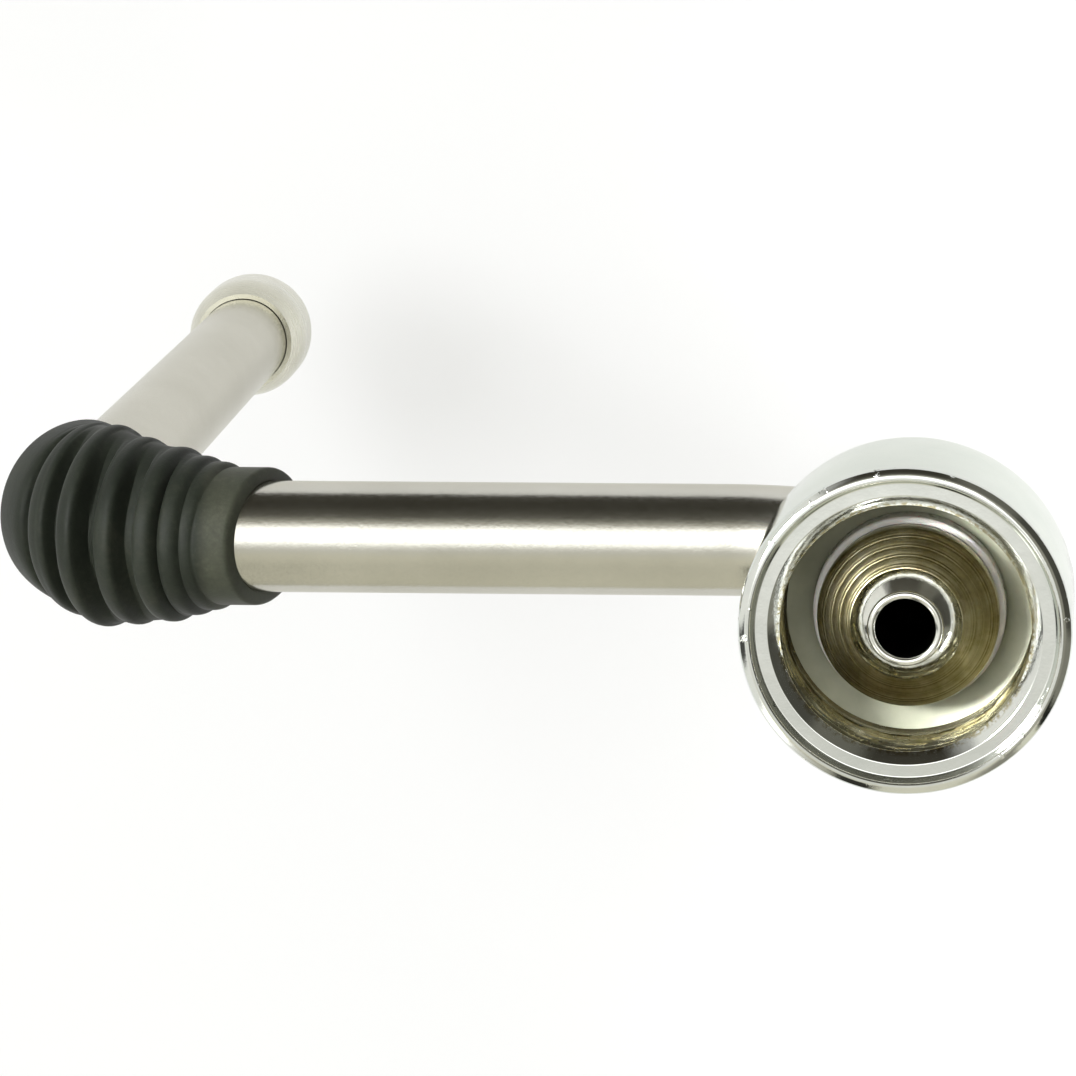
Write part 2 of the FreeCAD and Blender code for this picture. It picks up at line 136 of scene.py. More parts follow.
def add_object(name, vertices, faces, face_materials, materials):
    """Mesh object in metres from millimetre vertices, smooth except over sharp edges."""
    mesh = bpy.data.meshes.new(name)
    mesh.from_pydata([Vector(v) * MM for v in vertices], [], faces)
    for material in materials:
        mesh.materials.append(material)
    mesh.polygons.foreach_set("material_index", face_materials)
    mesh.shade_smooth()
    mesh.set_sharp_from_angle(angle=math.radians(SHARP_EDGE))
    mesh.update()
    piece = bpy.data.objects.new(name, mesh)
    bpy.context.scene.collection.objects.link(piece)
    return piece


def stand_for(piece, body, node):
    """The piece rides on a body in place of a CAD node."""
    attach(piece, body)
    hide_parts(node)
    return piece


def rounded(corners):
    """Outline with its corners rounded. corners holds (radius, height, rounding, material)."""
    outline = []
    count = len(corners)
    for i, (across, up, rounding, material) in enumerate(corners):
        corner = Vector((across, up))
        before = Vector(corners[i - 1][:2]) - corner
        after = Vector(corners[(i + 1) % count][:2]) - corner
        if rounding <= 0:
            outline.append((corner.x, corner.y, material))
            continue
        half = before.angle(after) / 2
        leg = rounding / math.tan(half)
        start = corner + before.normalized() * leg
        end = corner + after.normalized() * leg
        inward = (before.normalized() + after.normalized()).normalized()
        centre = corner + inward * (rounding / math.sin(half))
        for k in range(ROUNDING_STEPS + 1):
            spoke = start.lerp(end, k / ROUNDING_STEPS) - centre
            point = centre + spoke.normalized() * rounding
            outline.append((point.x, point.y, material))
    return outline


def arc(across, up, radius, first, last, steps, material):
    """Points of an arc, angles in degrees."""
    points = []
    for k in range(steps + 1):
        angle = math.radians(first + (last - first) * k / steps)
        points.append((across + radius * math.cos(angle), up + radius * math.sin(angle), material))
    return points


def lathe(name, outline, materials, wobble=None):
    """Closed outline (radius, height, material) turned about Z.

    wobble(radius, height, turn) gives a point's new radius.
    """
    vertices = []
    for across, up, _ in outline:
        for k in range(LATHE_STEPS):
            turn = 2 * math.pi * k / LATHE_STEPS
            radius = wobble(across, up, turn) if wobble else across
            vertices.append((radius * math.cos(turn), radius * math.sin(turn), up))
    faces = []
    face_materials = []
    count = len(outline)
    for i in range(count):
        following = (i + 1) % count
        for k in range(LATHE_STEPS):
            beside = (k + 1) % LATHE_STEPS
            faces.append((i * LATHE_STEPS + k, i * LATHE_STEPS + beside,
                          following * LATHE_STEPS + beside, following * LATHE_STEPS + k))
            face_materials.append(outline[i][2])
    return add_object(name, vertices, faces, face_materials, materials)


class Path:
    """The wand's centreline in the XZ plane: straights and arcs, walked by distance in millimetres."""

    def __init__(self, start, heading, runs):
        self.pieces = []
        self.length = 0.0
        at = Vector(start)
        for length, radius, turn in runs:
            self.pieces.append((self.length, length, at.copy(), heading, radius, turn))
            at, heading = self.along(at, heading, length, radius, turn, length)
            self.length += length

    @staticmethod
    def along(at, heading, length, radius, turn, distance):
        """Point and heading at a distance into one straight or arc."""
        if not turn:
            return at + Vector((math.cos(heading), math.sin(heading))) * distance, heading
        side = 1 if turn > 0 else -1
        swept = turn * distance / length
        centre = at + Vector((-math.sin(heading), math.cos(heading))) * (side * radius)
        spoke = at - centre
        spoke.rotate(Matrix.Rotation(swept, 2))
        return centre + spoke, heading + swept

    def at(self, distance):
        """Point and heading at a distance from the start."""
        for begin, length, start, heading, radius, turn in self.pieces:
            if distance <= begin + length or begin + length >= self.length:
                return self.along(start, heading, length, radius, turn, distance - begin)


def bend(radius, degrees):
    """Length, radius and turn of an arc."""
    return abs(math.radians(degrees)) * radius, radius, math.radians(degrees)


WAND = Path((0, TUBE_TOP), math.radians(-90), [
    (STRAIGHT_ONE, 0, 0),
    bend(BEND_ONE, -TURN_ONE),
    (STRAIGHT_TWO, 0, 0),
    bend(BEND_TWO, TURN_TWO),
    (STRAIGHT_THREE, 0, 0),
])
BEND_TWO_START = WAND.pieces[3][0]
BEND_TWO_LENGTH = WAND.pieces[3][1]


def sweep(name, rings, steps, materials, closed=False):
    """Skin over rings of equally many points."""
    vertices = [point for ring in rings for point in ring]
    faces = []
    count = len(rings)
    for i in range(count if closed else count - 1):
        following = (i + 1) % count
        for k in range(steps):
            beside = (k + 1) % steps
            faces.append((i * steps + k, i * steps + beside,
                          following * steps + beside, following * steps + k))
    return add_object(name, vertices, faces, [0] * len(faces), materials)


# ---------------------------------------------------------------- material helpers

class Tree:
    """A node tree with short calls for the nodes used here."""

    def __init__(self, tree):
        self.tree = tree

    def add(self, kind, **settings):
        node = self.tree.nodes.new(kind)
        for key, value in settings.items():
            setattr(node, key, value)
        return node

    def link(self, source, target):
        self.tree.links.new(source, target)

    def axes(self, vector):
        """X, Y and Z of a vector."""
        apart = self.add("ShaderNodeSeparateXYZ")
        self.link(vector, apart.inputs["Vector"])
        return apart.outputs["X"], apart.outputs["Y"], apart.outputs["Z"]

    def remap(self, value, low, high, to_low=0.0, to_high=1.0, smooth=False):
        """A value's range moved to another, held at its ends."""
        node = self.add("ShaderNodeMapRange", interpolation_type="SMOOTHSTEP" if smooth else "LINEAR")
        limits = {"From Min": low, "From Max": high, "To Min": to_low, "To Max": to_high}
        for socket, number in limits.items():
            node.inputs[socket].default_value = number
        self.link(value, node.inputs["Value"])
        return node.outputs["Result"]

    def math(self, operation, first, second=None):
        """Arithmetic on sockets or numbers."""
        node = self.add("ShaderNodeMath", operation=operation)
        for i, item in enumerate((first, second)):
            if item is None:
                continue
            if isinstance(item, (int, float)):
                node.inputs[i].default_value = item
            else:
                self.link(item, node.inputs[i])
        return node.outputs["Value"]

    def ramp(self, value, stops):
        """Colour ramp with (position, (r, g, b)) stops, at most 32."""
        node = self.add("ShaderNodeValToRGB")
        elements = node.color_ramp.elements
        while len(elements) < len(stops):
            elements.new(0.5)
        for element, (position, colour) in zip(elements, stops):
            element.position = position
            element.color = (*colour, 1)
        self.link(value, node.inputs["Fac"])
        return node.outputs["Color"]

    def mix(self, factor, first, second, blend="MIX"):
        """Blend of two colours, each a socket or an (r, g, b)."""
        node = self.add("ShaderNodeMix", data_type="RGBA", blend_type=blend)
        self.link(factor, node.inputs["Factor"])
        for socket, item in ((node.inputs[6], first), (node.inputs[7], second)):
            if isinstance(item, tuple):
                socket.default_value = (*item, 1)
            else:
                self.link(item, socket)
        return node.outputs[2]


class Paint(Tree):
    """A material's node tree round one principled shader, with patterns laid out in the part's frame."""

    def __init__(self, name):
        self.material = bpy.data.materials.new(name)
        self.material.use_nodes = True
        super().__init__(self.material.node_tree)
        self.shader = self.tree.nodes["Principled BSDF"]
        self.place = self.add("ShaderNodeTexCoord").outputs["Object"]

    def set(self, **values):
        """Constant shader sockets, such as roughness=0.3; an underscore stands for a space."""
        for key, value in values.items():
            self.shader.inputs[key.replace("_", " ")].default_value = value

    def noise(self, scale, detail=3.0, roughness=0.55, place=None, stretch=None):
        """Noise with a scale in features per metre."""
        source = place or self.place
        if stretch:
            mapping = self.add("ShaderNodeMapping")
            mapping.inputs["Scale"].default_value = stretch
            self.link(source, mapping.inputs["Vector"])
            source = mapping.outputs["Vector"]
        node = self.add("ShaderNodeTexNoise")
        node.inputs["Scale"].default_value = scale
        node.inputs["Detail"].default_value = detail
        node.inputs["Roughness"].default_value = roughness
        self.link(source, node.inputs["Vector"])
        return node.outputs["Fac"]

    def bump(self, height, strength, distance, normal=None):
        """Bumped normal, on top of another one if it is given. The distance is in metres."""
        node = self.add("ShaderNodeBump")
        node.inputs["Strength"].default_value = strength
        node.inputs["Distance"].default_value = distance
        self.link(height, node.inputs["Height"])
        if normal:
            self.link(normal, node.inputs["Normal"])
        return node.outputs["Normal"]

    def distance_from_axis(self):
        """Distance from the part's Z axis, in metres."""
        x, y, _ = self.axes(self.place)
        return self.math("SQRT", self.math("ADD", self.math("POWER", x, 2.0), self.math("POWER", y, 2.0)))

    def finish(self, colour, roughness=None, normal=None):
        """Link the patterns to the shader and return the material."""
        self.link(colour, self.shader.inputs["Base Color"])
        if roughness:
            self.link(roughness, self.shader.inputs["Roughness"])
        if normal:
            self.link(normal, self.shader.inputs["Normal"])
        return self.material


def chrome_material():
    """Bright plating, with brass-coloured speckles along the mouth's inner edge that are partly worn plating and
    partly a painted glint of the brass thread, and nicked round its lip.
    """
    n = Paint("chrome_plate")
    n.set(Metallic=1.0, Specular_Tint=(0.84, 0.865, 0.82, 1))
    cloud = n.noise(180, 4)
    grain = n.noise(5200, 2)
    speckle = n.noise(2300, 4, 0.7)
    plate = n.ramp(cloud, [(0.3, (0.70, 0.72, 0.70)), (0.7, (0.78, 0.79, 0.77))])
    # Brass-coloured speckles round the mouth's inner edge: partly worn plating, partly a painted reflection of the
    # brass thread.
    worn_and_glint = n.math("MULTIPLY", n.remap(n.distance_from_axis(), 0.0106, 0.01035),
                  n.remap(speckle, 0.44, 0.56))
    colour = n.mix(worn_and_glint, plate, (0.46, 0.42, 0.28))
    rough = n.remap(n.noise(900, 5, 0.7), 0.35, 0.75, 0.035, 0.13)
    lip = n.remap(n.axes(n.place)[2], 0.0019, 0.0022)
    nicks = n.math("MULTIPLY", lip, n.remap(n.noise(800, 3, 0.6), 0.64, 0.72))
    normal = n.bump(grain, 0.05, 0.00005, n.bump(cloud, 0.06, 0.0006))
    return n.finish(colour, rough, n.bump(nicks, 0.5, 0.00012, normal))


def thread_material():
    """Inside of the nut, where the plating is thin and the brass shows through."""
    n = Paint("thread_brass")
    n.set(Metallic=1.0)
    patch = n.noise(420, 5, 0.65)
    colour = n.ramp(patch, [(0.32, (0.16, 0.15, 0.085)), (0.5, (0.30, 0.285, 0.19)),
                            (0.72, (0.52, 0.51, 0.40))])
    rough = n.remap(patch, 0.3, 0.7, 0.32, 0.15)
    fine = n.noise(1500, 3, 0.5, stretch=(0.25, 0.25, 5.0))
    return n.finish(colour, rough, n.bump(fine, 0.15, 0.00006))


def floor_material():
    """Smooth seat floor of the nut: thin satin plating."""
    n = Paint("nut_seat_plate")
    n.set(Metallic=0.35)
    patch = n.noise(300, 4)
    colour = n.ramp(patch, [(0.3, (0.36, 0.37, 0.28)), (0.7, (0.48, 0.49, 0.38))])
    rough = n.remap(n.noise(1100, 4), 0.3, 0.7, 0.34, 0.46)
    return n.finish(colour, rough, n.bump(n.noise(2600, 2), 0.12, 0.00005))


def ring_material():
    """Pale low-friction plastic."""
    n = Paint("seat_ring_plastic")
    n.set(Specular_IOR_Level=0.45, Subsurface_Weight=0.12, Subsurface_Scale=0.0012)
    cloud = n.noise(500, 3)
    colour = n.ramp(cloud, [(0.3, (0.60, 0.58, 0.54)), (0.7, (0.74, 0.71, 0.68))])
    return n.finish(colour, n.remap(cloud, 0.3, 0.7, 0.22, 0.36), n.bump(n.noise(2400, 3), 0.15, 0.00006))


# Tool marks on the ball: their spacing in metres, and how fast and how far the spacing drifts with the radius.
TOOL_MARK_PITCH = 0.00034
TOOL_MARK_DRIFT = 9100
TOOL_MARK_SHIFT = 1.9


def tool_marks(n):
    """Distance from the part's Z axis, and a wave over that distance with uneven spacing."""
    radius = n.distance_from_axis()
    drift = n.math("SINE", n.math("MULTIPLY", radius, TOOL_MARK_DRIFT))
    shift = n.math("MULTIPLY", drift, TOOL_MARK_SHIFT)
    phase = n.math("ADD", n.math("MULTIPLY", radius, 2 * math.pi / TOOL_MARK_PITCH), shift)
    return radius, n.math("SINE", phase)


def brass_material():
    """Turned brass: tool marks, uneven bands over the radius and a patchy stain."""
    n = Paint("turned_brass")
    n.set(Metallic=1.0, Anisotropic=0.72)
    tangent = n.add("ShaderNodeTangent", direction_type="RADIAL", axis="Z")
    n.link(tangent.outputs["Tangent"], n.shader.inputs["Tangent"])
    radius, wave = tool_marks(n)
    along = n.add("ShaderNodeCombineXYZ")
    n.link(radius, along.inputs["X"])
    bands = n.math("SUBTRACT", n.noise(5200, 3, 0.7, place=along.outputs["Vector"]), 0.5)
    bands = n.math("MULTIPLY", bands, n.remap(radius, 0.0045, 0.0070, 0.25, 0.75))
    stain = n.remap(n.noise(330, 5, 0.68), 0.0, 1.0, 0.2, 0.8)
    lines = n.math("MULTIPLY", wave, n.remap(radius, 0.0048, 0.0066, 0.01, 0.05))
    mixed = n.math("ADD", n.math("ADD", stain, bands), lines)
    colour = n.ramp(mixed, [(0.34, (0.24, 0.205, 0.10)), (0.46, (0.42, 0.37, 0.21)),
                            (0.57, (0.62, 0.57, 0.38)), (0.70, (0.85, 0.82, 0.68))])
    rough = n.remap(mixed, 0.3, 0.7, 0.44, 0.32)
    height = n.math("ADD", n.math("MULTIPLY", wave, 0.35), n.math("MULTIPLY", bands, 1.2))
    return n.finish(colour, rough, n.bump(height, 0.4, 0.00005))


def nose_material():
    """Polished steel with faint waves."""
    n = Paint("polished_nose")
    n.set(Metallic=1.0)
    colour = n.ramp(n.noise(600, 4), [(0.3, (0.70, 0.70, 0.66)), (0.7, (0.85, 0.85, 0.82))])
    rough = n.remap(n.noise(2600, 4, 0.7), 0.35, 0.75, 0.05, 0.16)
    return n.finish(colour, rough, n.bump(n.noise(900, 4), 0.12, 0.00012))


def tube_material():
    """Satin stainless: fine grain along the tube and faint cloudiness."""
    n = Paint("satin_tube")
    n.set(Metallic=1.0, Specular_Tint=(0.80, 0.79, 0.74, 1))
    cloud = n.noise(110, 4)
    grain = n.noise(3400, 3, 0.6)
    colour = n.ramp(cloud, [(0.3, (0.55, 0.54, 0.49)), (0.7, (0.62, 0.61, 0.56))])
    rough = n.remap(grain, 0.25, 0.75, 0.15, 0.26)
    return n.finish(colour, rough, n.bump(grain, 0.16, 0.00006, n.bump(cloud, 0.05, 0.0006)))


def tip_material():
    """Satin steel with turning marks."""
    n = Paint("satin_tip")
    n.set(Metallic=1.0)
    cloud = n.noise(260, 4)
    colour = n.ramp(cloud, [(0.3, (0.57, 0.56, 0.475)), (0.7, (0.65, 0.64, 0.55))])
    rings = n.noise(2600, 3, 0.6, stretch=(0.1, 0.1, 1.6))
    return n.finish(colour, n.remap(rings, 0.3, 0.7, 0.20, 0.32), n.bump(rings, 0.2, 0.00005))


def rubber_material():
    """Matt greenish black rubber, with the smooth collar coloured lighter than the ribs as a painted sheen."""
    n = Paint("grip_rubber")
    n.set(Specular_IOR_Level=0.22, Sheen_Weight=0.03, Sheen_Roughness=0.5)
    cloud = n.noise(150, 5, 0.6)
    dust = n.noise(1900, 4, 0.7)
    mixed = n.math("ADD", n.math("MULTIPLY", cloud, 0.6), n.math("MULTIPLY", dust, 0.4))
    ribs = n.ramp(mixed, [(0.36, (0.007, 0.009, 0.006)), (0.52, (0.012, 0.015, 0.010)),
                          (0.68, (0.026, 0.028, 0.020))])
    # The collar's lighter colour is a painted sheen, blended in where the collar starts.
    collar_sheen = n.ramp(mixed, [(0.36, (0.026, 0.029, 0.020)), (0.52, (0.040, 0.043, 0.030)),
                            (0.68, (0.062, 0.062, 0.045))])
    bend_start = WAND.at(BEND_TWO_START)[0].x * MM
    along = n.remap(n.axes(n.place)[0], bend_start - 0.002, bend_start - 0.0004, smooth=True)
    rough = n.remap(mixed, 0.35, 0.7, 0.52, 0.68)
    skin = n.noise(3800, 3, 0.6)
    normal = n.bump(skin, 0.25, 0.00008, n.bump(cloud, 0.12, 0.0009))
    return n.finish(n.mix(along, ribs, collar_sheen), rough, normal)


def seal_material():
    """Black rubber."""
    n = Paint("seal_rubber_black")
    cloud = n.noise(900, 3)
    colour = n.ramp(cloud, [(0.3, (0.012, 0.012, 0.012)), (0.7, (0.03, 0.03, 0.03))])
    return n.finish(colour, n.remap(cloud, 0.3, 0.7, 0.35, 0.5), n.bump(cloud, 0.1, 0.0001))


def bush_material():
    """Turned steel."""
    n = Paint("turned_bush_steel")
    n.set(Metallic=1.0)
    rings = n.noise(3000, 3, 0.6, stretch=(0.1, 0.1, 1.8))
    colour = n.ramp(rings, [(0.3, (0.50, 0.49, 0.46)), (0.7, (0.68, 0.67, 0.64))])
    return n.finish(colour, n.remap(rings, 0.3, 0.7, 0.22, 0.38), n.bump(rings, 0.25, 0.00006))


# ---------------------------------------------------------------- pieces

# Places in the nut's list of materials.
PLATED = 0
THREADED = 1
SEAT = 2

# The nut's thread, as turns between the chamfer and the relief groove.
THREAD_PITCH = 1.5
THREAD_DEPTH = 0.72
THREAD_START = 0.9
THREAD_ROWS = 72
THREAD_FRONT_FADE = 0.5
THREAD_BACK_FADE = 0.4
THREAD_FLANK_SLOPE = 2.6
THREAD_CREST_FLAT = 0.15
THREAD_MARGIN = 0.02
NUT_FACE_DISH = 0.04


def thread_radius(across, up, turn):
    """Inside radius of the nut: a helical groove cut outward from the minor radius, fading out at both ends."""
    along_thread = THREAD_MARGIN - THREAD_LENGTH <= up <= THREAD_START - THREAD_MARGIN
    if not along_thread or abs(across - THREAD_RADIUS) > THREAD_MARGIN / 2:
        return across
    phase = (up / THREAD_PITCH - turn / (2 * math.pi)) % 1.0
    from_crest = 0.5 - abs(phase - 0.5)
    flank = min(1.0, max(0.0, from_crest * THREAD_FLANK_SLOPE - THREAD_CREST_FLAT))
    fade = min(1.0, (THREAD_START - up) / THREAD_FRONT_FADE, (THREAD_LENGTH + up) / THREAD_BACK_FADE)
    return across + THREAD_DEPTH * flank * fade


def make_nut(chrome, thread, seat):
    """Union nut: lip, flat face, chamfer, thread, relief groove, seat floor, counterbore and flared opening."""
    relief = -THREAD_LENGTH
    front = [
        (NUT_RADIUS, NUT_REAR, NUT_REAR_ROUNDING, PLATED),
        (NUT_RADIUS, NUT_FRONT, NUT_LIP_ROUNDING, PLATED),
        (NUT_LIP_INSIDE, NUT_FRONT, 0.32, PLATED),
        (NUT_FACE_OUTSIDE, NUT_FACE_LEVEL - NUT_FACE_DISH, 0.16, PLATED),
        (NUT_FACE_INSIDE, NUT_FACE_LEVEL, 0.16, PLATED),
        (THREAD_RADIUS, THREAD_START, 0.06, PLATED),
    ]
    back = [
        (THREAD_RADIUS, relief, 0.0, THREADED),
        (RELIEF_RADIUS, relief - RELIEF_SLOPE, 0.12, THREADED),
        (RELIEF_RADIUS, relief - RELIEF_WIDTH + RELIEF_SLOPE, 0.12, THREADED),
        (THREAD_RADIUS, relief - RELIEF_WIDTH, 0.25, SEAT),
        (COUNTERBORE_RADIUS, SEAT_FLOOR_LEVEL, 0.12, SEAT),
        (COUNTERBORE_RADIUS, COUNTERBORE_LEVEL, 0.0, SEAT),
        (OPENING_RADIUS, COUNTERBORE_LEVEL, 0.08, SEAT),
        (OPENING_FLARE, NUT_REAR, 0.3, PLATED),
    ]
    outline = rounded(front + back)
    top = THREAD_START - 0.05
    run = top - (0.03 - THREAD_LENGTH)
    rows = [(THREAD_RADIUS, top - run * k / THREAD_ROWS, THREADED) for k in range(THREAD_ROWS + 1)]
    below = next(i for i, point in enumerate(outline) if point[2] == THREADED)
    outline = outline[:below] + rows + outline[below:]
    nut = lathe("union_nut_chrome", outline, [chrome, thread, seat], thread_radius)
    return stand_for(nut, "nut", "union_nut")


def make_seat_ring(material):
    """Ring behind the ball, hollowed to the ball's sphere."""
    sphere = BALL_RADIUS + BALL_RUNNING_GAP
    first = math.degrees(math.asin(RING_TOP / sphere))
    last = math.degrees(math.asin(RING_BOTTOM / sphere))
    inside = arc(0, BALL.z, sphere, first, last, 16, 0)
    outside = rounded([
        (inside[-1][0], BALL.z + RING_BOTTOM, 0, 0),
        (RING_RADIUS, BALL.z + RING_BOTTOM, 0.15, 0),
        (RING_RADIUS, BALL.z + RING_TOP, 0.25, 0),
        (inside[0][0], BALL.z + RING_TOP, 0, 0),
    ])[1:-1]
    ring = lathe("seat_ring_lip", inside + outside, [material])
    return stand_for(ring, "seat", "seat_ring")


def make_ball(material):
    """Ball with a conical front, bored for the nose and for the tube."""
    tube_hole = TUBE_RADIUS + BRAZE_GAP
    nose_hole = NOSE_RADIUS + BRAZE_GAP
    back = -math.degrees(math.acos(tube_hole / BALL_RADIUS))
    front = math.degrees(math.asin(BALL_CONE_START / BALL_RADIUS))
    sphere = arc(0, BALL.z, BALL_RADIUS, back, front - 1.5, 40, 0)
    rest = rounded([
        (sphere[-1][0], sphere[-1][1], 0, 0),
        (7.44, BALL.z + 0.95, 0.25, 0),
        (BALL_LAND_RADIUS, BALL.z + BALL_CONE_END, 0.2, 0),
        (nose_hole, BALL.z + BALL_CONE_END, 0, 0),
        (nose_hole, TUBE_TOP, 0, 0),
        (tube_hole, TUBE_TOP, 0, 0),
        (sphere[0][0], sphere[0][1], 0, 0),
    ])[1:-1]
    ball = lathe("swivel_ball_turned", sphere + rest, [material])
    return stand_for(ball, "wand", "swivel_ball")


def make_nose(material):
    """Polished nose: a crowned cone under a narrow rounded rim round the steam hole."""
    bottom = BALL.z + SPIGOT_END
    chamfer = 0.1
    foot = [
        (STEAM_HOLE_RADIUS, bottom, 0),
        (SPIGOT_RADIUS - chamfer, bottom, 0),
        (SPIGOT_RADIUS, bottom + chamfer, 0),
        (SPIGOT_RADIUS, BALL.z + SPIGOT_SHOULDER, 0),
        (NOSE_RADIUS, BALL.z + SPIGOT_SHOULDER, 0),
        (NOSE_RADIUS, BALL.z + 3.25, 0),
        (4.54, BALL.z + 3.45, 0),
    ]
    crown = arc(-1.25, BALL.z - 2.03, 8.1, 44, 58, 12, 0)
    rim = arc(2.76, BALL.z + 5.2, 0.36, -20, 180, 16, 0)
    nose = lathe("nose_polished", foot + crown + rim, [material])
    return stand_for(nose, "wand", "nose_spigot")


def circle_ring(distance, radius, steps=TUBE_STEPS):
    """Ring of points round the centreline, square to it."""
    centre, heading = WAND.at(distance)
    side = Vector((-math.sin(heading), math.cos(heading)))
    ring = []
    for k in range(steps):
        turn = 2 * math.pi * k / steps
        across = radius * math.cos(turn)
        ring.append((centre.x + side.x * across, radius * math.sin(turn), centre.y + side.y * across))
    return ring


def make_tube(material):
    """Bent tube with chamfered ends and an open bore."""
    distances = [0.0]
    for begin, length, _, _, _, turn in WAND.pieces:
        steps = TUBE_BEND_STEPS if turn else TUBE_STRAIGHT_STEPS
        distances += [begin + length * (k + 1) / steps for k in range(steps)]
    edge = 0.2
    outer = [circle_ring(0, TUBE_RADIUS - edge), circle_ring(edge, TUBE_RADIUS)]
    outer += [circle_ring(d, TUBE_RADIUS) for d in distances[1:-1]]
    outer += [circle_ring(WAND.length - edge, TUBE_RADIUS), circle_ring(WAND.length, TUBE_RADIUS - edge)]
    inner = [circle_ring(d, TUBE_BORE) for d in reversed(distances)]
    tube = sweep("wand_tube_satin", outer + inner, TUBE_STEPS, [material], closed=True)
    return stand_for(tube, "wand", "wand_tube")


# Grip crests: where the crest begins and ends along the second bend, its radius, and the lean of its axis from
# the middle straight in degrees.
CRESTS = [
    (0.9, 0.9, 6.7, 20.0),
    (2.5, 2.5, 7.2, 20.0),
    (4.6, 4.6, 7.9, 20.0),
    (8.3, 8.3, 8.5, 20.0),
    (12.1, 12.1, 9.2, 24.0),
    (16.0, 16.0, 8.9, 29.0),
    (18.7, 20.6, 8.45, 50.0),
    (24.5, 24.5, 7.4, 74.0),
    (28.3, 28.3, 6.8, 86.0),
]
CREST_HALF_WIDTH = 0.95
CREST_ROUNDING = 0.7
CREST_POWER = 2.6
WALL_SLOPE = 3.6
GROOVE_AT_SIDE = 0.2
INSIDE_LOSS = 0.6
END_ROLL = 0.45
GRIP_STEPS = 128
GRIP_STATIONS = 300
GRIP_BORE_STATIONS = 48
GRIP_END = BEND_TWO_LENGTH + GRIP_TAIL
MIDDLE_HEADING = WAND.pieces[2][3]


def by_place(ends, value_of):
    """Stations (distance, value) at the crests' middles, between two end stations."""
    middles = [((crest[0] + crest[1]) / 2, value_of(crest)) for crest in CRESTS]
    return ends[:-1] + middles + ends[-1:]


CREST_LINE = by_place(
    [(-GRIP_LEAD, GRIP_CORE), (0.0, GRIP_CORE), (GRIP_END - 2.0, GRIP_CORE)],
    lambda crest: crest[2],
)
LEANS = by_place([(-GRIP_LEAD, GRIP_CUT_ANGLE), (GRIP_END, TURN_TWO)], lambda crest: crest[3])


def between(stations, distance):
    """Value of stations (distance, value) at a distance, in straight steps between neighbours."""
    if distance <= stations[0][0]:
        return stations[0][1]
    for (low, first), (high, last) in zip(stations, stations[1:]):
        if distance <= high:
            return first + (last - first) * (distance - low) / (high - low)
    return stations[-1][1]


def crest_radius(distance):
    """Outside radius along the grip's bend: crests with rounded tops and sloping walls, 0 between them."""
    radius = 0.0
    for first, last, crest, _ in CRESTS:
        offset = max(first - distance, distance - last, 0.0)
        if offset < CREST_HALF_WIDTH:
            level = math.sqrt(max(0.0, 1 - (offset / CREST_HALF_WIDTH) ** CREST_POWER))
            top = crest - CREST_ROUNDING * (1 - level)
        else:
            top = crest - CREST_ROUNDING - (offset - CREST_HALF_WIDTH) * WALL_SLOPE
        radius = max(radius, top)
    return radius


def leaning_ring(distance, reach_at):
    """Ring in the plane that leans with the crests. reach_at(turn, stretch) gives its radius at each turn.

    stretch is how much farther the plane cuts a round sleeve there than a plane square to the sleeve does.
    """
    centre, heading = WAND.at(BEND_TWO_START + distance)
    axis = MIDDLE_HEADING + math.radians(between(LEANS, distance))
    side = Vector((-math.sin(axis), math.cos(axis)))
    ring = []
    for k in range(GRIP_STEPS):
        turn = 2 * math.pi * k / GRIP_STEPS
        stretch = 1 / math.hypot(math.cos(turn) * math.cos(axis - heading), math.sin(turn))
        reach = reach_at(turn, stretch)
        across = reach * math.cos(turn)
        ring.append((centre.x + side.x * across, reach * math.sin(turn), centre.y + side.y * across))
    return ring


def grip_ring(distance):
    """Outer ring. Grooves are shallow at both sides of the bend, and ribs are low on its inside."""
    deep = crest_radius(distance)
    shallow = between(CREST_LINE, distance) - GROOVE_AT_SIDE
    edge = min(distance + GRIP_LEAD, GRIP_END - distance)
    roll = END_ROLL * (1 - math.sqrt(max(0.0, 1 - max(0.0, 1 - edge / END_ROLL) ** 2)))

    def reach_at(turn, stretch):
        squeeze = INSIDE_LOSS * max(0.0, math.cos(turn)) ** 2
        core = max(deep - squeeze * max(0.0, deep - GRIP_CORE), (GRIP_CORE - roll) * stretch)
        filled = max(core, shallow) if roll == 0 else core
        return core + (filled - core) * abs(math.sin(turn)) ** 5

    return leaning_ring(distance, reach_at)


def bore_rings():
    """Rings of the grip's bore from its far end back to the oblique one."""
    rings = []
    for k in range(GRIP_BORE_STATIONS, -1, -1):
        distance = BEND_TWO_START + GRIP_END * k / GRIP_BORE_STATIONS
        rings.append(circle_ring(distance, GRIP_BORE, GRIP_STEPS))
    return rings + [leaning_ring(-GRIP_LEAD, lambda turn, stretch: GRIP_BORE * stretch)]


def make_grip(material):
    """Ribbed grip over the second bend, with an oblique upper end."""
    run = GRIP_LEAD + GRIP_END
    outer = [grip_ring(-GRIP_LEAD + run * k / GRIP_STATIONS) for k in range(GRIP_STATIONS + 1)]
    grip = sweep("elbow_grip_ribbed", outer + bore_rings(), GRIP_STEPS, [material], closed=True)
    return stand_for(grip, "wand", "elbow_grip")


def dress(node, material):
    """Give a carried-over CAD node its finish."""
    mesh = frame["nodes"][node].data
    mesh.materials.clear()
    mesh.materials.append(material)
    mesh.shade_smooth()
    mesh.set_sharp_from_angle(angle=math.radians(SHARP_EDGE_ON_NODE))


# ---------------------------------------------------------------- studio

FLOOR_RADIUS = 0.45
FLOOR_DROP = 0.04
FLOOR_STEPS = 96


